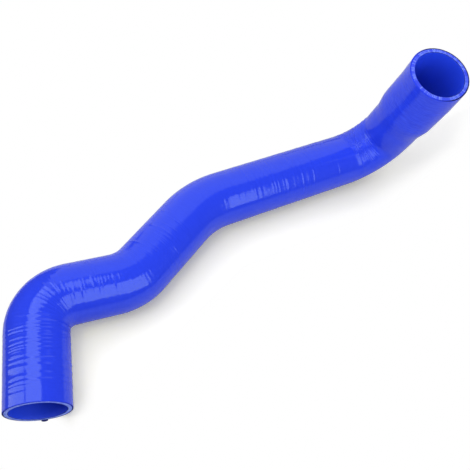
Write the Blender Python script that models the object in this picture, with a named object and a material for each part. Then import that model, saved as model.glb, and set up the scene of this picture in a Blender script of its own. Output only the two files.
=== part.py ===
"""A preformed silicone charge air hose, lying as it comes to rest.

The hose is one moulded tube, open at both ends. From its plain mouth it
turns a corner and swings through a flat S along the floor, then an elbow
lifts it up to a wider cuff that fits over a larger spigot.

Metres, +Z up. The origin is on the floor, under the middle of the box
around the hose, and the plain mouth opens towards -Y.
"""

import math
from collections import namedtuple

import bmesh
import bpy
from mathutils import Matrix, Vector

# The hose's section: outside diameters and wall thicknesses.
BODY_DIAMETER = 0.060
BODY_WALL = 0.005
CUFF_DIAMETER = 0.066
CUFF_WALL = 0.0055

# The cuff, measured back from its mouth along the centreline.
CUFF_LENGTH = 0.067
FLARE_LENGTH = 0.017

# Straight runs of the centreline, from the plain mouth to the cuff's mouth.
MOUTH_LEG = 0.073
LINK_RUN = 0.043
SLANT_RUN = 0.075
LONG_RUN = 0.168
RISER_RUN = 0.067
TIP_RUN = 0.005

# Bends between the runs: the angle turned, and the radius along the inside
# of the bend, where the wall passes closest to the bend's centre.
CORNER_ANGLE = math.radians(79)
CORNER_INSIDE = 0.008
LEFT_BEND_ANGLE = math.radians(36)
LEFT_BEND_INSIDE = 0.024
RIGHT_BEND_ANGLE = math.radians(28)
RIGHT_BEND_INSIDE = 0.078
ELBOW_ANGLE = math.radians(87)
ELBOW_INSIDE = 0.017
CUFF_BEND_ANGLE = math.radians(10)
CUFF_BEND_INSIDE = 0.190

# The elbow rises in a plane that leans this far over to the right.
ELBOW_LEAN = math.radians(7)

# Fineness of the mesh.
SIDES = 40
BEND_STEP = math.radians(8)
RUN_STEP = 0.035
FLARE_STEPS = 6
SHARP_EDGE = math.radians(40)

# Blue silicone, as linear colour.
SILICONE_COLOUR = (0.018, 0.045, 0.760, 1.0)
SILICONE_ROUGHNESS = 0.32

# Directions across the hose for someone who looks along it: X is ahead.
AHEAD = Vector((1, 0, 0))
LEFT = Vector((0, 1, 0))
RIGHT = Vector((0, -1, 0))
UP_AND_OVER = Vector((0, -math.sin(ELBOW_LEAN), math.cos(ELBOW_LEAN)))

Run = namedtuple("Run", "length")
Bend = namedtuple("Bend", "angle radius towards")


def bend(angle, inside, towards):
    """A bend whose centreline runs half a body width outside its inside radius."""
    return Bend(angle, inside + BODY_DIAMETER / 2, towards)


ROUTE = (
    Run(MOUTH_LEG),
    bend(CORNER_ANGLE, CORNER_INSIDE, RIGHT),
    Run(LINK_RUN),
    bend(LEFT_BEND_ANGLE, LEFT_BEND_INSIDE, LEFT),
    Run(SLANT_RUN),
    bend(RIGHT_BEND_ANGLE, RIGHT_BEND_INSIDE, RIGHT),
    Run(LONG_RUN),
    bend(ELBOW_ANGLE, ELBOW_INSIDE, UP_AND_OVER),
    Run(RISER_RUN),
    bend(CUFF_BEND_ANGLE, CUFF_BEND_INSIDE, UP_AND_OVER),
    Run(TIP_RUN),
)


def step_length(step):
    """The centreline's length along one step of the route."""
    if isinstance(step, Run):
        return step.length
    return step.angle * step.radius


def along(step, length):
    """The move from the start of a step to a point at this length along it."""
    if isinstance(step, Run):
        return Matrix.Translation(AHEAD * length)
    centre = step.towards * step.radius
    axis = AHEAD.cross(step.towards)
    turned = Matrix.Rotation(length / step.radius, 4, axis)
    return Matrix.Translation(centre) @ turned @ Matrix.Translation(-centre)


def start_place():
    """The plain mouth: it looks along +Y, with the body's underside on the floor."""
    height = Matrix.Translation((0, 0, BODY_DIAMETER / 2))
    return height @ Matrix.Rotation(math.radians(90), 4, "Z")


def place_at(length):
    """The frame of the section at this length from the plain mouth."""
    place = start_place()
    for step in ROUTE[:-1]:
        whole = step_length(step)
        if length <= whole:
            return place @ along(step, length)
        place = place @ along(step, whole)
        length -= whole
    return place @ along(ROUTE[-1], length)


HOSE_LENGTH = sum(step_length(step) for step in ROUTE)
FLARE_END = HOSE_LENGTH - CUFF_LENGTH
FLARE_START = FLARE_END - FLARE_LENGTH


def section_lengths():
    """Where the sections of the mesh lie along the hose, mouth to mouth."""
    lengths = {0.0}
    start = 0.0
    for step in ROUTE:
        whole = step_length(step)
        if isinstance(step, Run):
            count = math.ceil(whole / RUN_STEP)
        else:
            count = math.ceil(step.angle / BEND_STEP)
        lengths.update(start + whole * i / count for i in range(1, count + 1))
        start += whole
    for i in range(FLARE_STEPS + 1):
        lengths.add(FLARE_START + FLARE_LENGTH * i / FLARE_STEPS)
    return without_slivers(sorted(lengths))


def without_slivers(lengths):
    """Leaves out a section that nearly meets the one before it, but keeps both mouths."""
    least_gap = FLARE_LENGTH / FLARE_STEPS / 4
    kept = [lengths[0]]
    for length in lengths[1:-1]:
        if length - kept[-1] > least_gap and lengths[-1] - length > least_gap:
            kept.append(length)
    return kept + [lengths[-1]]


def flared(length, body, cuff):
    """A size that eases from the body's value to the cuff's along the flare."""
    share = min(max((length - FLARE_START) / FLARE_LENGTH, 0), 1)
    eased = share * share * (3 - 2 * share)
    return body + (cuff - body) * eased


def outside_radius(length):
    return flared(length, BODY_DIAMETER / 2, CUFF_DIAMETER / 2)


def wall(length):
    return flared(length, BODY_WALL, CUFF_WALL)


def ring(mesh, place, radius):
    """A ring of vertices round the centreline, the first at the bottom."""
    vertices = []
    for i in range(SIDES):
        angle = 2 * math.pi * i / SIDES
        across = Vector((0, math.sin(angle), -math.cos(angle)))
        vertices.append(mesh.verts.new(place @ (across * radius)))
    return vertices


def join_rings(mesh, first, second):
    """A band of faces between two rings."""
    for i in range(SIDES):
        after = (i + 1) % SIDES
        mesh.faces.new((first[i], first[after], second[after], second[i]))


def hose_mesh():
    """The whole tube: its outside, its bore and its two cut ends."""
    mesh = bmesh.new()
    outside = []
    bore = []
    for length in section_lengths():
        place = place_at(length)
        radius = outside_radius(length)
        outside.append(ring(mesh, place, radius))
        bore.append(ring(mesh, place, radius - wall(length)))
    loop = outside + bore[::-1]
    for first, second in zip(loop, loop[1:] + loop[:1]):
        join_rings(mesh, first, second)
    bmesh.ops.recalc_face_normals(mesh, faces=mesh.faces)
    centre_on_floor(mesh)
    return mesh


def centre_on_floor(mesh):
    """Moves the mesh so that the origin lies under the middle of its box."""
    xs = [vertex.co.x for vertex in mesh.verts]
    ys = [vertex.co.y for vertex in mesh.verts]
    middle = Vector((min(xs) + max(xs), min(ys) + max(ys), 0)) / 2
    bmesh.ops.translate(mesh, vec=-middle, verts=mesh.verts)


def silicone():
    """Glossy blue silicone rubber."""
    material = bpy.data.materials.new("silicone")
    material.use_nodes = True
    material.diffuse_color = SILICONE_COLOUR
    shader = material.node_tree.nodes["Principled BSDF"]
    shader.inputs["Base Color"].default_value = SILICONE_COLOUR
    shader.inputs["Roughness"].default_value = SILICONE_ROUGHNESS
    shader.inputs["Metallic"].default_value = 0.0
    return material


def make_hose():
    data = bpy.data.meshes.new("hose")
    mesh = hose_mesh()
    mesh.to_mesh(data)
    mesh.free()
    data.materials.append(silicone())
    data.shade_smooth()
    data.set_sharp_from_angle(angle=SHARP_EDGE)
    hose = bpy.data.objects.new("hose", data)
    bpy.context.scene.collection.objects.link(hose)
    return hose


def clear_scene():
    for item in list(bpy.data.objects):
        bpy.data.objects.remove(item, do_unlink=True)


clear_scene()
make_hose()
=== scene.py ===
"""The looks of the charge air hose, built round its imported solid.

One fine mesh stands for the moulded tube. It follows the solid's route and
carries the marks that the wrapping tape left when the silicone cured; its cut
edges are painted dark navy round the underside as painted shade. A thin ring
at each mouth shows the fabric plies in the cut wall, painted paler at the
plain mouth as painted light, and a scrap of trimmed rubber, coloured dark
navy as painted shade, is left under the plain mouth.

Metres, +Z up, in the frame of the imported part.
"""

import math
import random
from collections import namedtuple

import bpy
import numpy as np
from mathutils import Matrix, Vector


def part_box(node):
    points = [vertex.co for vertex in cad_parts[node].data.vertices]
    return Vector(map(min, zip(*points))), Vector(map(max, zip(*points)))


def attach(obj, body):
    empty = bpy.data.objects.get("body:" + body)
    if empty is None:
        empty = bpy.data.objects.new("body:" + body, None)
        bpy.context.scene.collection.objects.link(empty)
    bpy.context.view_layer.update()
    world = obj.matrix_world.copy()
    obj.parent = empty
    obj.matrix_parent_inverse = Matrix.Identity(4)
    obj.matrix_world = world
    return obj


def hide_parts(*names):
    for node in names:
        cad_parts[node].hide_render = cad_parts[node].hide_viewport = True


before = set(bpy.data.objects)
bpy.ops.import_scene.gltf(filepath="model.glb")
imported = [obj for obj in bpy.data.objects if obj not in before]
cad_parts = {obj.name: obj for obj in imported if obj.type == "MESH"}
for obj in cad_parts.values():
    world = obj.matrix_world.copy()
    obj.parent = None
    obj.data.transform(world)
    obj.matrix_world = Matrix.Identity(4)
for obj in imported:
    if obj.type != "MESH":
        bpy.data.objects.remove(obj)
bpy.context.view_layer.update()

# The hose's section and cuff.
BODY_DIAMETER = 0.060
BODY_WALL = 0.005
CUFF_DIAMETER = 0.066
CUFF_WALL = 0.0055
CUFF_LENGTH = 0.067
FLARE_LENGTH = 0.017

# The flare starts this much sooner and ends this much later than the solid's.
FLARE_SOFTENING = 0.0035

# The route, from the plain mouth to the cuff's mouth.
MOUTH_LEG = 0.073
LINK_RUN = 0.043
SLANT_RUN = 0.075
LONG_RUN = 0.168
RISER_RUN = 0.067
TIP_RUN = 0.005
CORNER_ANGLE = math.radians(79)
CORNER_INSIDE = 0.008
LEFT_BEND_ANGLE = math.radians(36)
LEFT_BEND_INSIDE = 0.024
RIGHT_BEND_ANGLE = math.radians(28)
RIGHT_BEND_INSIDE = 0.078
ELBOW_ANGLE = math.radians(87)
ELBOW_INSIDE = 0.017
CUFF_BEND_ANGLE = math.radians(10)
CUFF_BEND_INSIDE = 0.190
ELBOW_LEAN = math.radians(7)

# The inside of the elbow is drawn in a little where the riser starts.
FILL_MIDDLE = 0.560
FILL_SPREAD = 0.018
FILL_SIDE = math.radians(-25)
FILL_REACH = math.radians(50)
FILL_LIFT = -0.0050

# Fineness of the visible mesh.
SIDES = 56
RING_STEP = 0.00043
BORE_STEP = 0.0045
CUT_SIDES = 720
CUT_RINGS = 10
SCRAP_SIDES = 24

# The cut ends: the skins' rounded edge, and the plies that show between them.
EDGE_RADIUS = 0.0004
EDGE_ANGLES = np.radians([30, 60, 90])
OUTER_SKIN = 0.0014
INNER_SKIN = 0.0005
PLY_RISE = 0.00018
PLY_LAYERS = 3
BEAD_PITCH = 0.0019
BEAD_DRIFTS = 24

# How pale each mouth's plies are between their yarn ends. The plain mouth's are painted
# paler than the cuff's as painted light, to make up for the light its cut face lacks.
PLAIN_MOUTH_PALENESS_AND_PAINTED_LIGHT = 0.40
CUFF_MOUTH_PALENESS = -0.10

# The scrap under the plain mouth: its side of the hose, its depth and its half sizes.
SCRAP_SIDE = math.radians(-170)
SCRAP_DEPTH = 0.0004
SCRAP_SIZE = (0.0012, 0.0031, 0.0006)

# How much single tape marks vary, and how wavy they are round the hose.
MARK_JITTER = 0.35
MARK_WIDTHS = (0.8, 1.3)
MARK_LIFTS = (0.4, 1.0)
MARK_REACHES = (0.6, 1.2)
MARK_WAVE = 0.0002
MARK_WAVES = 9
MARK_PHASE = 40
MARK_SEED = 7

# A mark's height is nothing farther from its middle than this.
MARK_LIMIT = 0.010

# The steepest slope of a mark's curve, as a share of its height over its width.
STEEPEST = math.sqrt(2 / math.e)

# Colours, as linear values.
BLUE = (0.016, 0.042, 0.700, 1.0)
STREAK_DARK = (0.010, 0.030, 0.640, 1.0)
STREAK_PALE = (0.026, 0.062, 0.770, 1.0)
BORE_BLUE = (0.016, 0.058, 0.720, 1.0)
SHEEN_BLUE = (0.75, 1.0, 1.0, 1.0)
PLY_PALE = (0.270, 0.400, 1.000, 1.0)
PLY_BLUE = (0.032, 0.062, 0.760, 1.0)
# Painted shade in dark navy, for the underside of the cut ends' edges and for the scrap
# under the plain mouth.
PAINTED_SHADE_NAVY = (0.008, 0.012, 0.120, 1.0)
WHITE = (1.0, 1.0, 1.0, 1.0)

# How strong the colour's crosswise streaks are, and where along the hose that changes.
STREAKS_ON_BODY = 0.12
STREAKS_ON_CUFF = 0.75
STREAKS_CHANGE = (0.600, 0.630)

# How high above the centreline the painted shade on the cut edge has turned from navy to
# blue.
PAINTED_SHADE_FADE = 0.022

# The values between which most of a noise lies, for smooth and for detailed ones.
NOISE_RANGE = (0.3, 0.7)
STREAK_RANGE = (0.35, 0.65)

# The white table under the hose ends beside its left side, along a line that
# slants in from the front to the back. The room beyond is dark.
TABLE_WHITE = (0.68, 0.68, 0.68, 1.0)
TABLE_FRONT = (-0.298, -0.09)
TABLE_BACK = (-0.226, 0.07)

# The floor's paper as exposed for white, and where blue light falls back on to it,
# told apart by how open the floor is to the sky within this distance.
OPEN_PAPER = (1.35, 1.35, 1.35, 1.0)
SHADOW_PAPER = (1.42, 1.38, 0.925, 1.0)
SKY_DISTANCE = 0.25
SKY_IN_SHADOW = 0.40
SKY_IN_OPEN = 0.97

# The photograph's view: where its axis meets the floor, and from which side.
AIM = Vector((0.0098, 0.0322, 0.0))
VIEW_HEADING = math.radians(30.0)
VIEW_PITCH = math.radians(56.53)
VIEW_ROLL = math.radians(24.36)
VIEW_DISTANCE = 0.741
LENS = 50
SENSOR_WIDTH = 36

FLOOR_SIZE = 12
ROOM_BRIGHTNESS = 0.12

# The sockets of a colour mix.
FIRST_COLOUR = 6
SECOND_COLOUR = 7
MIXED_COLOUR = 2

# The tube's materials, in the order of its slots.
OUTSIDE, EDGE, BORE = range(3)

# Directions across the hose for someone who looks along it: X is ahead.
AHEAD = Vector((1, 0, 0))
LEFT = Vector((0, 1, 0))
RIGHT = Vector((0, -1, 0))
UP_AND_OVER = Vector((0, -math.sin(ELBOW_LEAN), math.cos(ELBOW_LEAN)))

Run = namedtuple("Run", "length")
Bend = namedtuple("Bend", "angle radius towards")
Marks = namedtuple("Marks", "start end pitch tilt width lean reach spread")
Fade = namedtuple("Fade", "through towards length")
Panel = namedtuple("Panel", "name centre heading pitch roll width height brightness")


def bend(angle, inside, towards):
    """A bend whose centreline runs half a body width outside its inside radius."""
    return Bend(angle, inside + BODY_DIAMETER / 2, towards)


ROUTE = (
    Run(MOUTH_LEG),
    bend(CORNER_ANGLE, CORNER_INSIDE, RIGHT),
    Run(LINK_RUN),
    bend(LEFT_BEND_ANGLE, LEFT_BEND_INSIDE, LEFT),
    Run(SLANT_RUN),
    bend(RIGHT_BEND_ANGLE, RIGHT_BEND_INSIDE, RIGHT),
    Run(LONG_RUN),
    bend(ELBOW_ANGLE, ELBOW_INSIDE, UP_AND_OVER),
    Run(RISER_RUN),
    bend(CUFF_BEND_ANGLE, CUFF_BEND_INSIDE, UP_AND_OVER),
    Run(TIP_RUN),
)

# Marks of the wrapping tape, by stretches of the hose. The tilt is a mark's
# steepest slope, the lean slants it, and the reach and the spread say how far it
# goes round the hose and how far from the top its middle may lie.
TAPE_MARKS = (
    Marks(0.020, 0.044, 0.0060, 0.230, 0.0014, 0.0006, 2.0, 1.2),
    Marks(0.044, 0.082, 0.0035, 0.200, 0.0010, 0.0005, 2.0, 1.2),
    Marks(0.010, 0.120, 0.0019, 0.130, 0.0008, 0.0006, 0.7, 1.2),
    Marks(0.080, 0.200, 0.0028, 0.120, 0.0009, 0.0010, 0.6, 1.2),
    Marks(0.140, 0.200, 0.0042, 0.100, 0.0009, 0.0010, 0.35, 1.2),
    Marks(0.200, 0.240, 0.0034, 0.220, 0.0009, 0.0012, 0.4, 1.2),
    Marks(0.240, 0.300, 0.0030, 0.030, 0.0009, 0.0008, 0.5, 1.2),
    Marks(0.300, 0.500, 0.0032, 0.070, 0.0009, 0.0008, 0.7, 1.2),
    Marks(0.355, 0.480, 0.0052, 0.190, 0.0010, 0.0008, 0.8, 1.2),
    Marks(0.499, 0.567, 0.0026, 0.500, 0.0010, 0.0030, 0.9, 0.6),
    Marks(0.598, 0.677, 0.0024, 0.260, 0.0006, 0.0004, 1.0, 1.8),
    Marks(0.208, 0.262, 0.0023, 0.200, 0.0007, 0.0010, 0.4, 1.0),
)

# Where the hose's shadow fades to plain white: a point of the floor on the fade's
# start, the way to white, and the fade's length. The first two meet at the right
# bend, and there the shadow reaches out to the farther of them.
SHADOW_MIDDLE = (
    Fade((0.001, 0.012), (0.655, -0.755), 0.024),
    Fade((0.001, 0.012), (0.352, -0.936), 0.024),
)
SHADOW_SIDES = (
    Fade((0.218, 0.103), (0.551, -0.834), 0.028),
    Fade((0.331, 0.177), (0.829, -0.559), 0.030),
    Fade((0.0, -0.148), (0.0, -1.0), 0.026),
    Fade((-0.178, -0.150), (-0.6, -0.8), 0.016),
    Fade((-0.206, 0.0), (-1.0, 0.0), 0.010),
    Fade((-0.206, -0.030), (-0.395, 0.919), 0.010),
)

# Soft boxes and a white card, as found from the reflections in the photograph.
PANELS = (
    Panel("left_softbox", (-1.266, -0.066, 0.275), 103, -27, 4, 0.63, 1.28, 2.1),
    Panel("top_softbox", (-0.238, -0.024, 0.596), 93, -37, -15, 0.53, 0.615, 1.9),
    Panel("right_softbox", (0.535, -0.694, 1.075), -9, -7, -12, 1.05, 1.45, 2.0),
    Panel("back_card", (0.07, 0.38, 0.34), 174, -20, -15, 0.80, 0.68, 0.69),
)

# Lamps that no reflection shows. The side fills light the hose but not the floor.
NEAR_FILL = Panel("near_fill", (-0.50, -0.32, 1.00), 42, -58, 0, 0.30, 0.30, 3.2)
SIDE_FILLS = (
    Panel("right_fill", (0.55, -0.35, 0.30), -57, -22, 0, 0.50, 0.40, 1.9),
    Panel("front_fill", (0.10, -0.65, 0.35), 11, -18, 0, 0.50, 0.40, 1.6),
    Panel("back_fill", (0.20, 0.65, 0.60), 184, -42, 0, 0.50, 0.40, 1.6),
    Panel("left_fill", (-0.55, 0.30, 0.25), 119, -20, 0, 0.50, 0.40, 1.2),
)


def step_length(step):
    """The centreline's length along one step of the route."""
    if isinstance(step, Run):
        return step.length
    return step.angle * step.radius


def along(step, length):
    """The move from the start of a step to a point at this length along it."""
    if isinstance(step, Run):
        return Matrix.Translation(AHEAD * length)
    centre = step.towards * step.radius
    axis = AHEAD.cross(step.towards)
    turned = Matrix.Rotation(length / step.radius, 4, axis)
    return Matrix.Translation(centre) @ turned @ Matrix.Translation(-centre)


def start_place():
    """The plain mouth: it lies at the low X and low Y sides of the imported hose."""
    low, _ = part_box("hose")
    radius = BODY_DIAMETER / 2
    centre = Matrix.Translation((low.x + radius, low.y, radius))
    return centre @ Matrix.Rotation(math.radians(90), 4, "Z")


START = start_place()
HOSE_LENGTH = sum(step_length(step) for step in ROUTE)
FLARE_END = HOSE_LENGTH - CUFF_LENGTH
FLARE_START = FLARE_END - FLARE_LENGTH


def place_at(length):
    """The frame of the section at this length from the plain mouth."""
    place = START
    for step in ROUTE[:-1]:
        whole = step_length(step)
        if length <= whole:
            return place @ along(step, length)
        place = place @ along(step, whole)
        length -= whole
    return place @ along(ROUTE[-1], length)


def eased(share):
    """A share from 0 to 1 that starts and ends gently."""
    share = np.clip(share, 0, 1)
    return share * share * (3 - 2 * share)


def flared(lengths, body, cuff):
    """A size that eases from the body's value to the cuff's along the flare."""
    start = FLARE_START - FLARE_SOFTENING
    whole = FLARE_LENGTH + 2 * FLARE_SOFTENING
    return body + (cuff - body) * eased((lengths - start) / whole)


def outside_radius(lengths):
    return flared(lengths, BODY_DIAMETER / 2, CUFF_DIAMETER / 2)


def bore_radius(lengths):
    wall = flared(lengths, BODY_WALL, CUFF_WALL)
    return outside_radius(lengths) - wall


def turned_away(turns, side):
    """The angle from this side of the hose, within half a turn either way."""
    return np.angle(np.exp(1j * (turns - side)))


def mark_heights(lengths, turns):
    """How far the tape's marks lift the outside, for each ring and each side."""
    chance = random.Random(MARK_SEED)
    heights = np.zeros((len(lengths), len(turns)))
    for marks in TAPE_MARKS:
        count = round((marks.end - marks.start) / marks.pitch)
        for i in range(count):
            shift = chance.uniform(-MARK_JITTER, MARK_JITTER)
            centre = marks.start + marks.pitch * (i + shift)
            width = marks.width * chance.uniform(*MARK_WIDTHS)
            lift = marks.tilt * chance.uniform(*MARK_LIFTS) * width / STEEPEST
            side = chance.uniform(-marks.spread, marks.spread)
            reach = marks.reach * chance.uniform(*MARK_REACHES)
            lean = marks.lean * chance.uniform(-1.0, 1.0)
            away = turned_away(turns, side)
            wave = MARK_WAVE * np.sin(MARK_WAVES * away + MARK_PHASE * centre)
            line = centre + lean * away + wave
            near = np.abs(lengths - centre) < MARK_LIMIT
            offset = (lengths[near][:, None] - line[None, :]) / width
            fade = np.exp(-(away / reach) ** 4)
            heights[near] += lift * np.exp(-offset ** 2) * fade[None, :]
    return heights


def elbow_fill(lengths, turns):
    """How far the inside of the elbow is drawn in, so that it turns up later."""
    along_it = np.exp(-((lengths - FILL_MIDDLE) / FILL_SPREAD) ** 2)
    round_it = np.exp(-(turned_away(turns, FILL_SIDE) / FILL_REACH) ** 2)
    return FILL_LIFT * along_it[:, None] * round_it[None, :]


def sections(lengths, radii, turns):
    """Points of the sections: rings by sides by three, and the straightened hose's."""
    points = np.empty(radii.shape + (3,))
    straight = np.empty(radii.shape + (3,))
    left_share = np.sin(turns)
    up_share = np.cos(turns)
    for i, length in enumerate(lengths):
        place = np.array(place_at(length))
        across = np.outer(left_share, place[:3, 1]) + np.outer(up_share, place[:3, 2])
        points[i] = place[:3, 3] + radii[i][:, None] * across
        straight[i, :, 0] = length
        straight[i, :, 1] = radii[i] * left_share
        straight[i, :, 2] = radii[i] * up_share
    return points, straight


def side_turns(count):
    """The angles of a ring's vertices, from the top towards the left."""
    return np.arange(count) * 2 * math.pi / count


def ring_lengths(step, first, last):
    """Evenly spaced lengths from first to last, no more than a step apart."""
    count = math.ceil((last - first) / step)
    return np.linspace(first, last, count + 1)


def closed_bands(ring_count, sides):
    """Faces between each ring and the next, and from the last back to the first."""
    rings = np.arange(ring_count)
    after = (rings + 1) % ring_count
    here = np.arange(sides)
    beside = (here + 1) % sides
    first = rings[:, None] * sides
    second = after[:, None] * sides
    faces = np.stack((
        first + here,
        first + beside,
        second + beside,
        second + here,
    ), axis=-1)
    return faces.reshape(-1, 4)


def make_piece(name, points, straight, materials, bands, fibre_and_painted_light=None):
    """A closed piece of rings, with its place on the straightened hose kept.

    Each band gives the material of the faces from one ring to the next.
    """
    ring_count, sides, _ = points.shape
    data = bpy.data.meshes.new(name)
    faces = closed_bands(ring_count, sides)
    data.from_pydata(points.reshape(-1, 3).tolist(), [], faces.tolist())
    for material in materials:
        data.materials.append(material)
    per_face = np.repeat(np.asarray(bands, dtype=np.int32), sides)
    data.polygons.foreach_set("material_index", per_face)
    layer = data.attributes.new("straight", "FLOAT_VECTOR", "POINT")
    layer.data.foreach_set("vector", straight.reshape(-1).astype(np.float32))
    if fibre_and_painted_light is not None:
        layer = data.attributes.new("fibre_and_painted_light", "FLOAT", "POINT")
        layer.data.foreach_set("value", fibre_and_painted_light.reshape(-1).astype(np.float32))
    data.shade_smooth()
    data.update()
    piece = bpy.data.objects.new(name, data)
    bpy.context.scene.collection.objects.link(piece)
    return piece


def node(tree, kind, **settings):
    """A new node with these settings."""
    made = tree.nodes.new(kind)
    for name, value in settings.items():
        setattr(made, name, value)
    return made


def straight_place(tree):
    """The point's place on the straightened hose: along it, left and up."""
    return node(tree, "ShaderNodeAttribute", attribute_name="straight").outputs["Vector"]


def parts_of(tree, vector):
    """A vector's X, Y and Z."""
    split = node(tree, "ShaderNodeSeparateXYZ")
    tree.links.new(vector, split.inputs[0])
    return split.outputs


def scaled(tree, vector, scale):
    """A place stretched by these factors, to stretch a noise the other way."""
    mapping = node(tree, "ShaderNodeMapping")
    mapping.inputs["Scale"].default_value = scale
    tree.links.new(vector, mapping.inputs["Vector"])
    return mapping.outputs["Vector"]


def noise(tree, vector, scale, detail=2.0, roughness=0.5):
    """A noise with this many grains a metre."""
    made = node(tree, "ShaderNodeTexNoise")
    made.inputs["Scale"].default_value = scale
    made.inputs["Detail"].default_value = detail
    made.inputs["Roughness"].default_value = roughness
    tree.links.new(vector, made.inputs["Vector"])
    return made.outputs["Fac"]


def ranged(tree, value, low, high, start=0.0, end=1.0):
    """A value that goes from low to high while the given one goes from start to end."""
    made = node(tree, "ShaderNodeMapRange")
    made.inputs["From Min"].default_value = start
    made.inputs["From Max"].default_value = end
    made.inputs["To Min"].default_value = low
    made.inputs["To Max"].default_value = high
    tree.links.new(value, made.inputs["Value"])
    return made.outputs["Result"]


def mixed(tree, share, first, second):
    """A colour between two, at this share of the way."""
    made = node(tree, "ShaderNodeMix", data_type="RGBA")
    made.inputs[FIRST_COLOUR].default_value = first
    made.inputs[SECOND_COLOUR].default_value = second
    tree.links.new(share, made.inputs["Factor"])
    return made.outputs[MIXED_COLOUR]


def mixed_shaders(tree, share, first, second):
    """The look of the first where the share is 0, and of the second where it is 1."""
    made = node(tree, "ShaderNodeMixShader")
    tree.links.new(share, made.inputs[0])
    tree.links.new(first, made.inputs[1])
    tree.links.new(second, made.inputs[2])
    return made.outputs[0]


def bump(tree, height, strength, distance):
    """The normal of a surface with this fine relief."""
    made = node(tree, "ShaderNodeBump")
    made.inputs["Strength"].default_value = strength
    made.inputs["Distance"].default_value = distance
    tree.links.new(height, made.inputs["Height"])
    return made.outputs["Normal"]


def new_material(name, colour):
    """A material with its node tree and its shader."""
    material = bpy.data.materials.new(name)
    material.use_nodes = True
    material.diffuse_color = colour
    shader = material.node_tree.nodes["Principled BSDF"]
    shader.inputs["Base Color"].default_value = colour
    return material, material.node_tree, shader


def streak_colour(tree, place, streaks):
    """Blue with fine crosswise streaks, faint on the body and plainer on the cuff."""
    length = parts_of(tree, place)["X"]
    strength = ranged(tree, length, STREAKS_ON_BODY, STREAKS_ON_CUFF, *STREAKS_CHANGE)
    share = node(tree, "ShaderNodeMath", operation="MULTIPLY_ADD")
    centred = ranged(tree, streaks, -0.5, 0.5, *STREAK_RANGE)
    tree.links.new(centred, share.inputs[0])
    tree.links.new(strength, share.inputs[1])
    share.inputs[2].default_value = 0.5
    return mixed(tree, share.outputs[0], STREAK_DARK, STREAK_PALE)


def outside_material():
    """Glossy cured silicone, with fine crosswise streaks from the tape."""
    material, tree, shader = new_material("silicone_outside", BLUE)
    shader.inputs["IOR"].default_value = 1.52
    shader.inputs["Specular Tint"].default_value = SHEEN_BLUE
    place = straight_place(tree)
    crosswise = scaled(tree, place, (1.0, 0.10, 0.10))
    streaks = noise(tree, crosswise, 900, detail=3.0, roughness=0.55)
    cloud = noise(tree, place, 60, detail=3.0)
    dullness = ranged(tree, cloud, 0.09, 0.14, *NOISE_RANGE)
    tree.links.new(streak_colour(tree, place, streaks), shader.inputs["Base Color"])
    tree.links.new(dullness, shader.inputs["Roughness"])
    tree.links.new(bump(tree, streaks, 0.35, 0.00005), shader.inputs["Normal"])
    return material


def bore_material():
    """The liner, duller where the mandrel was drawn out."""
    material, tree, shader = new_material("silicone_bore", BORE_BLUE)
    shader.inputs["IOR"].default_value = 1.43
    place = straight_place(tree)
    drawn = noise(tree, scaled(tree, place, (0.05, 1.0, 1.0)), 700)
    cloud = noise(tree, place, 80, detail=3.0)
    dullness = ranged(tree, cloud, 0.36, 0.52, *NOISE_RANGE)
    tree.links.new(dullness, shader.inputs["Roughness"])
    tree.links.new(bump(tree, drawn, 0.3, 0.00004), shader.inputs["Normal"])
    return material


def cut_material():
    """The cut wall: pale yarn ends of the fabric plies, set in blue silicone."""
    material, tree, shader = new_material("silicone_cut", PLY_PALE)
    shader.inputs["IOR"].default_value = 1.43
    shader.inputs["Roughness"].default_value = 0.6
    fibre_and_painted_light = node(tree, "ShaderNodeAttribute", attribute_name="fibre_and_painted_light").outputs["Fac"]
    fuzz = noise(tree, straight_place(tree), 4000, detail=3.0)
    tree.links.new(mixed(tree, fibre_and_painted_light, PLY_BLUE, PLY_PALE), shader.inputs["Base Color"])
    tree.links.new(bump(tree, fuzz, 0.4, 0.00005), shader.inputs["Normal"])
    return material


def painted_shade_edge_material():
    """The outer skin's cut edge, blue on top and painted shade in dark navy round the
    underside.
    """
    material, tree, shader = new_material("silicone_edge_painted_shade", PAINTED_SHADE_NAVY)
    shader.inputs["IOR"].default_value = 1.20
    place = straight_place(tree)
    speckle = noise(tree, place, 900)
    dullness = ranged(tree, speckle, 0.60, 0.80, *NOISE_RANGE)
    # Painted shade: navy below the centreline, turning to blue above it.
    above_painted_shade = ranged(tree, parts_of(tree, place)["Z"], 0.0, 1.0, 0.0, PAINTED_SHADE_FADE)
    tree.links.new(dullness, shader.inputs["Roughness"])
    tree.links.new(mixed(tree, above_painted_shade, PAINTED_SHADE_NAVY, BLUE), shader.inputs["Base Color"])
    return material


def cut_edge(mouth, ahead):
    """The rounded edges and the face of a cut end, from outside to bore."""
    lengths = mouth - ahead * EDGE_RADIUS * (1 - np.sin(EDGE_ANGLES))
    inset = EDGE_RADIUS * (1 - np.cos(EDGE_ANGLES))
    outer = np.stack((lengths, outside_radius(mouth) - inset), axis=-1)
    inner = np.stack((lengths, bore_radius(mouth) + inset), axis=-1)
    return np.concatenate([outer, inner[::-1]])


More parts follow.
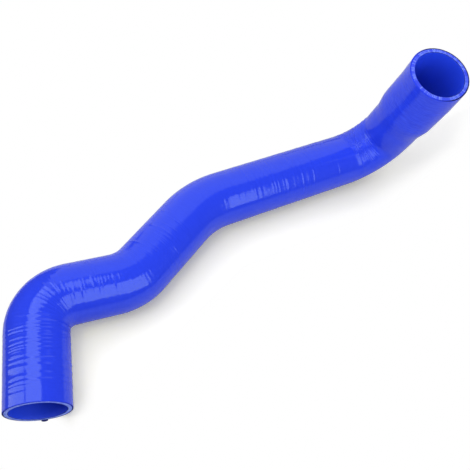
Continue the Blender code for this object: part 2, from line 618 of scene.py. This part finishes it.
def make_tube():
    """The whole moulded tube: outside, both cut ends and bore."""
    turns = side_turns(SIDES)
    outer = ring_lengths(RING_STEP, EDGE_RADIUS, HOSE_LENGTH - EDGE_RADIUS)
    inner = ring_lengths(BORE_STEP, EDGE_RADIUS, HOSE_LENGTH - EDGE_RADIUS)[::-1]
    far_cut = cut_edge(HOSE_LENGTH, 1)
    near_cut = cut_edge(0.0, -1)[::-1]
    plain_radii = [
        outside_radius(outer),
        far_cut[:, 1],
        bore_radius(inner),
        near_cut[:, 1],
    ]
    lengths = np.concatenate([outer, far_cut[:, 0], inner, near_cut[:, 0]])
    radii = np.repeat(np.concatenate(plain_radii)[:, None], SIDES, axis=1)
    radii[:len(outer)] += mark_heights(outer, turns) + elbow_fill(outer, turns)
    points, straight = sections(lengths, radii, turns)
    bands = np.full(len(lengths), OUTSIDE)
    bands[len(outer):] = EDGE
    bands[len(outer) + len(far_cut) - 1:] = BORE
    bands[len(outer) + len(far_cut) + len(inner):] = EDGE
    materials = (outside_material(), painted_shade_edge_material(), bore_material())
    return make_piece("hose_tube", points, straight, materials, bands)


def yarn_ends(turns, across, outer, chance):
    """How strongly the yarn ends show, from 0 to about 1, across and round a cut."""
    beads = round(2 * math.pi * outer / BEAD_PITCH)
    drifts = np.append(chance.normal(0, 0.5, BEAD_DRIFTS), 0)
    strengths = chance.uniform(0, 1.2, beads) ** 1.5
    drift = np.interp(turns, np.linspace(0, 2 * math.pi, BEAD_DRIFTS + 1), drifts)
    strength = np.interp(turns, np.linspace(0, 2 * math.pi, beads), strengths)
    shift = 0.7 * np.sin(9 * across)[:, None]
    yarn = 0.5 + 0.5 * np.cos(turns * beads + drift[None, :] + shift)
    layers = 0.75 + 0.25 * np.cos(across * 2 * math.pi * PLY_LAYERS)[:, None]
    return yarn * strength[None, :] * layers


def make_plies(name, mouth, ahead, paleness_and_painted_light, seed):
    """The ring of fabric plies that shows in a cut end, a little proud of it."""
    turns = side_turns(CUT_SIDES)
    across = np.linspace(0, 1, CUT_RINGS)
    outer = float(outside_radius(mouth)) - OUTER_SKIN
    inner = float(bore_radius(mouth)) + INNER_SKIN
    yarn = yarn_ends(turns, across, outer, np.random.default_rng(seed))
    # The paleness carries painted light at the plain mouth, lifting its plies' colour.
    fibre_and_painted_light = np.clip(paleness_and_painted_light + 1.10 * yarn + 0.20 * across[:, None] ** 4, 0, 1)
    fibre_and_painted_light = np.concatenate([fibre_and_painted_light, fibre_and_painted_light[-1:], fibre_and_painted_light[:1]])
    domed = np.sin(math.pi * across)[:, None] ** 0.5
    front = mouth + ahead * PLY_RISE * (0.3 + 0.7 * yarn) * domed
    back = np.full((2, CUT_SIDES), mouth - ahead * 2 * PLY_RISE)
    lengths = np.concatenate([front, back])
    radii = np.concatenate([outer + (inner - outer) * across, [inner, outer]])[:, None]
    place = np.array(place_at(mouth))
    left = radii * np.sin(turns)[None, :]
    up = radii * np.cos(turns)[None, :]
    straight = np.stack((lengths, left, up), axis=-1)
    moves = np.stack((lengths - mouth, left, up), axis=-1)
    points = place[:3, 3] + moves @ place[:3, :3].T
    if ahead < 0:
        points, straight, fibre_and_painted_light = points[::-1], straight[::-1], fibre_and_painted_light[::-1]
    bands = np.zeros(len(points), dtype=int)
    return make_piece(name, points, straight, (cut_material(),), bands, fibre_and_painted_light)


def make_scrap():
    """A scrap of trimmed rubber left on the underside of the plain mouth, coloured dark
    navy as painted shade where it meets the floor.
    """
    out = float(outside_radius(0.0)) - SCRAP_DEPTH
    left = out * math.sin(SCRAP_SIDE)
    up = out * math.cos(SCRAP_SIDE)
    centre = Matrix.Translation((-SCRAP_DEPTH, left, up))
    turned = Matrix.Rotation(-SCRAP_SIDE, 4, "X")
    size = Matrix.Diagonal((*SCRAP_SIZE, 1))
    bpy.ops.mesh.primitive_uv_sphere_add(
        segments=SCRAP_SIDES, ring_count=SCRAP_SIDES // 2, radius=1)
    scrap = bpy.context.object
    scrap.name = "trim_scrap_painted_shade"
    scrap.data.shade_smooth()
    # The scrap's dark navy is painted shade.
    scrap.data.materials.append(new_material("silicone_scrap_painted_shade", PAINTED_SHADE_NAVY)[0])
    scrap.data.transform(place_at(0.0) @ centre @ turned @ size)
    return scrap


def direction(heading, pitch):
    """The way to look: a turn from +Y towards +X, and a climb from the level."""
    level = math.cos(pitch)
    return Vector((
        level * math.sin(heading),
        level * math.cos(heading),
        math.sin(pitch),
    ))


def aimed(facing, roll):
    """The turn that aims a camera or a lamp, rolled about its own axis."""
    turned = facing.to_track_quat("-Z", "Y").to_matrix().to_4x4()
    return turned @ Matrix.Rotation(roll, 4, "Z")


def make_camera():
    """The photograph's view, on a full-frame 50 mm lens."""
    forward = direction(VIEW_HEADING, -VIEW_PITCH)
    data = bpy.data.cameras.new("camera")
    data.lens = LENS
    data.sensor_width = SENSOR_WIDTH
    camera = bpy.data.objects.new("camera", data)
    bpy.context.scene.collection.objects.link(camera)
    away = Matrix.Translation(AIM - forward * VIEW_DISTANCE)
    camera.matrix_world = away @ aimed(forward, VIEW_ROLL)
    bpy.context.scene.camera = camera


def make_panel(panel, reflected=True, lit=None):
    """An area light that shows this brightness in a reflection, where 1 is white."""
    facing = direction(math.radians(panel.heading), math.radians(panel.pitch))
    data = bpy.data.lights.new(panel.name, "AREA")
    data.shape = "RECTANGLE"
    data.size = panel.width
    data.size_y = panel.height
    data.energy = panel.brightness * math.pi * panel.width * panel.height
    light = bpy.data.objects.new(panel.name, data)
    bpy.context.scene.collection.objects.link(light)
    centre = Matrix.Translation(panel.centre)
    light.matrix_world = centre @ aimed(facing, math.radians(panel.roll))
    light.visible_camera = False
    light.visible_glossy = reflected
    if lit is not None:
        light.light_linking.receiver_collection = lit


def make_world():
    """White behind the object, and a dim room for everything that lights it."""
    world = bpy.data.worlds.new("studio")
    bpy.context.scene.world = world
    world.use_nodes = True
    tree = world.node_tree
    background = tree.nodes["Background"]
    background.inputs["Color"].default_value = WHITE
    seen = node(tree, "ShaderNodeLightPath").outputs["Is Camera Ray"]
    strength = ranged(tree, seen, ROOM_BRIGHTNESS, 1.0)
    tree.links.new(strength, background.inputs["Strength"])


def table_look(tree):
    """What lights the hose from below: the white table, and nothing past its edge."""
    place = node(tree, "ShaderNodeNewGeometry").outputs["Position"]
    parts = parts_of(tree, place)
    front, front_y = TABLE_FRONT
    back, back_y = TABLE_BACK
    edge = ranged(tree, parts["Y"], front, back, start=front_y, end=back_y)
    over = node(tree, "ShaderNodeMath", operation="GREATER_THAN")
    tree.links.new(parts["X"], over.inputs[0])
    tree.links.new(edge, over.inputs[1])
    paper = node(tree, "ShaderNodeBsdfDiffuse")
    paper.inputs["Color"].default_value = TABLE_WHITE
    beyond = node(tree, "ShaderNodeBsdfTransparent")
    return mixed_shaders(tree, over.outputs[0], beyond.outputs[0], paper.outputs[0])


def faded(tree, place, fade):
    """A share that rises from 0 where the fade starts on the floor to 1 at its end."""
    offset = node(tree, "ShaderNodeVectorMath", operation="SUBTRACT")
    offset.inputs[1].default_value = (*fade.through, 0)
    tree.links.new(place, offset.inputs[0])
    reach = node(tree, "ShaderNodeVectorMath", operation="DOT_PRODUCT")
    reach.inputs[1].default_value = Vector((*fade.towards, 0)).normalized()
    tree.links.new(offset.outputs["Vector"], reach.inputs[0])
    share = ranged(tree, reach.outputs["Value"], 0.0, 1.0, start=0.0, end=fade.length)
    share.node.interpolation_type = "SMOOTHSTEP"
    return share


def chosen(tree, operation, shares):
    """The greatest or the least of several shares."""
    kept = shares[0]
    for share in shares[1:]:
        made = node(tree, "ShaderNodeMath", operation=operation)
        tree.links.new(kept, made.inputs[0])
        tree.links.new(share, made.inputs[1])
        kept = made.outputs[0]
    return kept


def photographed_look(tree):
    """The floor as the camera sees it: white, apart from the hose's grey shadow."""
    place = node(tree, "ShaderNodeNewGeometry").outputs["Position"]
    middle = [faded(tree, place, fade) for fade in SHADOW_MIDDLE]
    sides = [faded(tree, place, fade) for fade in SHADOW_SIDES]
    plain = chosen(tree, "MAXIMUM", [chosen(tree, "MINIMUM", middle), *sides])
    sky = node(tree, "ShaderNodeAmbientOcclusion")
    sky.inputs["Distance"].default_value = SKY_DISTANCE
    openness = ranged(tree, sky.outputs["AO"], 0.0, 1.0, SKY_IN_SHADOW, SKY_IN_OPEN)
    colour = mixed(tree, openness, SHADOW_PAPER, OPEN_PAPER)
    paper = node(tree, "ShaderNodeBsdfDiffuse")
    tree.links.new(colour, paper.inputs["Color"])
    white = node(tree, "ShaderNodeEmission")
    return mixed_shaders(tree, plain, paper.outputs[0], white.outputs[0])


def make_floor():
    """A white floor that keeps the hose's shadow."""
    bpy.ops.mesh.primitive_plane_add(size=FLOOR_SIZE)
    floor = bpy.context.object
    floor.name = "floor"
    material = bpy.data.materials.new("floor")
    material.use_nodes = True
    floor.data.materials.append(material)
    tree = material.node_tree
    tree.nodes.clear()
    seen = node(tree, "ShaderNodeLightPath").outputs["Is Camera Ray"]
    look = mixed_shaders(tree, seen, table_look(tree), photographed_look(tree))
    output = node(tree, "ShaderNodeOutputMaterial")
    tree.links.new(look, output.inputs["Surface"])


make_camera()
make_world()
make_floor()

tube = make_tube()
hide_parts("hose")
pieces = (
    tube,
    # The plain mouth's plies are painted paler, as painted light.
    make_plies("plain_mouth_plies", 0.0, -1, PLAIN_MOUTH_PALENESS_AND_PAINTED_LIGHT, seed=11),
    make_plies("cuff_mouth_plies", HOSE_LENGTH, 1, CUFF_MOUTH_PALENESS, seed=12),
    make_scrap(),
)
lit = bpy.data.collections.new("lit_by_side_fills")
for piece in pieces:
    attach(piece, "root")
    lit.objects.link(piece)

for panel in PANELS:
    make_panel(panel)
make_panel(NEAR_FILL, reflected=False)
for panel in SIDE_FILLS:
    make_panel(panel, reflected=False, lit=lit)

bpy.context.scene.view_settings.view_transform = "Standard"
